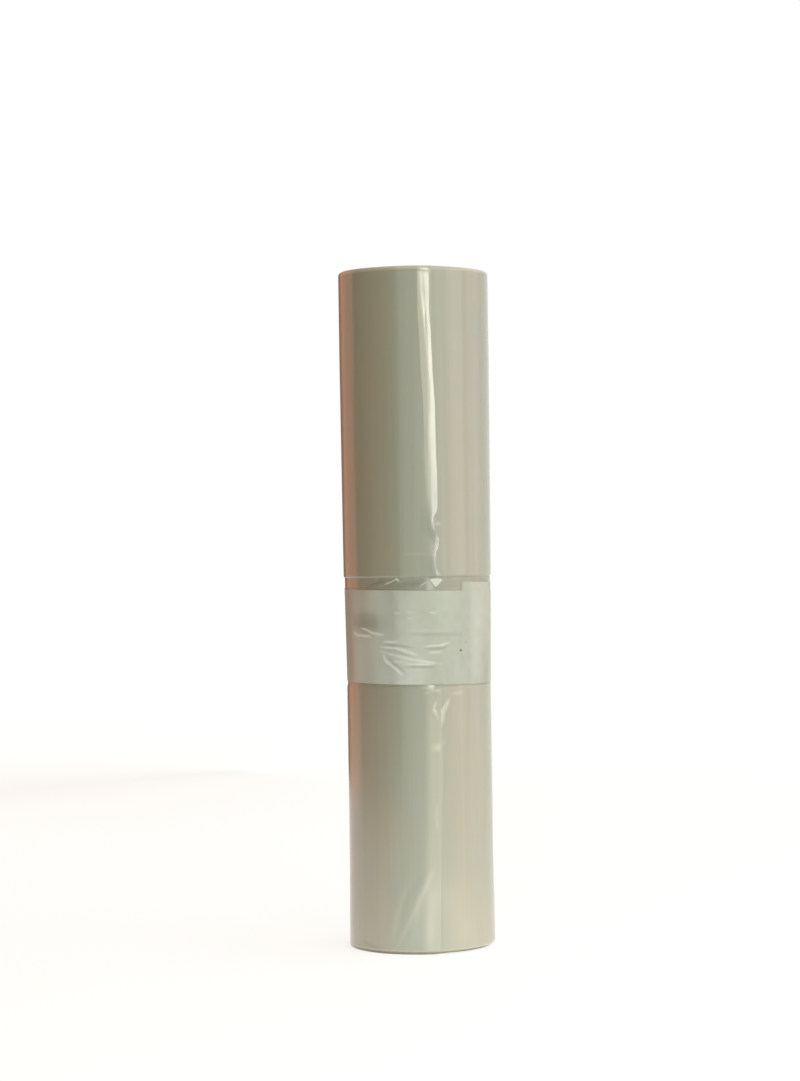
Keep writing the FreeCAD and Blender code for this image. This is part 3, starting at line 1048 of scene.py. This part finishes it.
def makeStageMesh(name, corners, material):
    mesh = bpy.data.meshes.new(name)
    mesh.from_pydata(corners, [], [tuple(range(len(corners)))])
    mesh.materials.append(material)
    thing = bpy.data.objects.new(name, mesh)
    bpy.context.scene.collection.objects.link(thing)
    return thing


floorFinish = {"glow": 0.75, "pale": colour(0.36, 0.36, 0.36), "reach": 8.0}


# The floor looks white to the camera and in reflections, and still takes the shadow
def makeFloor(finish):
    material, tree = newMaterial("floor")
    glow = tree.add("ShaderNodeEmission", {}, {
        "Color": colour(1, 1, 1), "Strength": tree.seen() * finish["glow"],
    })
    plain = tree.add("ShaderNodeBsdfDiffuse", {}, {"Color": finish["pale"]})
    both = tree.add("ShaderNodeAddShader", {}, {0: glow, 1: plain})
    tree.add("ShaderNodeOutputMaterial", {}, {"Surface": both})
    r = finish["reach"]
    makeStageMesh("floor", [(-r, -r, 0), (r, -r, 0), (r, r, 0), (-r, r, 0)], material)


ambient = {"colour": colour(0.98, 0.95, 0.83), "strength": 0.88}


# The surroundings light the roll at a plain level and look white
def makeWorld(values):
    world = bpy.data.worlds.new("studio")
    world.use_nodes = True
    world.node_tree.nodes.clear()
    tree = Tree(world.node_tree)
    seen = tree.seen()
    tone = tree.colourMix(seen, values["colour"], colour(1, 1, 1))
    strength = values["strength"] + seen * (1 - values["strength"])
    back = tree.add("ShaderNodeBackground", {}, {"Color": tone, "Strength": strength})
    tree.add("ShaderNodeOutputWorld", {}, {"Surface": back})
    bpy.context.scene.world = world


# Cards that the roll sees and the camera doesn't: azimuths of both sides, their
# distance and the height of the top
cards = {
    "shadeCard": {
        "from": -108.0, "to": -26.0, "distance": 0.8, "top": 1.2,
        "tone": colour(0.31, 0.22, 0.14),
    },
    "warmCard": {
        "from": -172.0, "to": -110.0, "distance": 0.95, "top": 1.2,
        "tone": colour(0.5, 0.25, 0.14),
    },
}


def makeCard(name, values):
    material, tree = newMaterial(name)
    plain = tree.add("ShaderNodeBsdfDiffuse", {}, {"Color": values["tone"]})
    tree.add("ShaderNodeOutputMaterial", {}, {"Surface": plain})
    corners = [
        aroundRoll(values[side], values["distance"], height)
        for height, sides in ((0.0, ("from", "to")), (values["top"], ("to", "from")))
        for side in sides
    ]
    card = makeStageMesh(name, corners, material)
    card.visible_camera = False


# Soft lamps, all turned to the middle of the roll: azimuth, distance and height of the
# middle, width and height, power and tone. The one on the ground lights from below.
lamps = {
    "strip": {
        "azimuth": 18.5, "distance": 0.95, "middle": 0.285,
        "size": (0.12, 0.35), "power": 1.25, "tone": (1, 1, 0.9),
    },
    "frontSide": {
        "azimuth": 40.0, "distance": 1.2, "middle": 0.35,
        "size": (0.3, 1.0), "power": 0.7, "tone": (0.85, 1, 0.98),
    },
    "keyBox": {
        "azimuth": 66.0, "distance": 1.2, "middle": 0.42,
        "size": (0.6, 1.0), "power": 1.95, "tone": (1, 0.99, 0.94),
    },
    "sideBox": {
        "azimuth": 100.0, "distance": 1.0, "middle": 0.35,
        "size": (0.5, 0.9), "power": 0.85, "tone": (1, 0.77, 0.82),
    },
    "warmLamp": {
        "azimuth": -128.0, "distance": 0.7, "middle": 0.29,
        "size": (0.5, 0.7), "power": 0.93, "tone": (1, 0.44, 0.34),
    },
    "tableGlow": {
        "azimuth": 0.0, "distance": 0.0, "middle": 0.001,
        "size": (0.3, 0.3), "power": 0.25, "tone": (1, 0.98, 1),
    },
}


def makeLamp(name, values):
    data = bpy.data.lights.new(name, "AREA")
    data.shape = "RECTANGLE"
    data.size, data.size_y = values["size"]
    data.energy = values["power"]
    data.color = values["tone"]
    lamp = bpy.data.objects.new(name, data)
    place = aroundRoll(values["azimuth"], values["distance"], values["middle"])
    lamp.location = place
    aim = Vector((0, 0, rollHigh.z / 2))
    lamp.rotation_euler = (aim - place).to_track_quat("-Z", "Y").to_euler()
    lamp.visible_camera = False
    lamp.visible_glossy = values["distance"] > 0
    bpy.context.scene.collection.objects.link(lamp)


makeWorld(ambient)
makeFloor(floorFinish)
for name, values in cards.items():
    makeCard(name, values)
for name, values in lamps.items():
    makeLamp(name, values)
bpy.context.scene.view_settings.view_transform = "Standard"
print("stage lit")
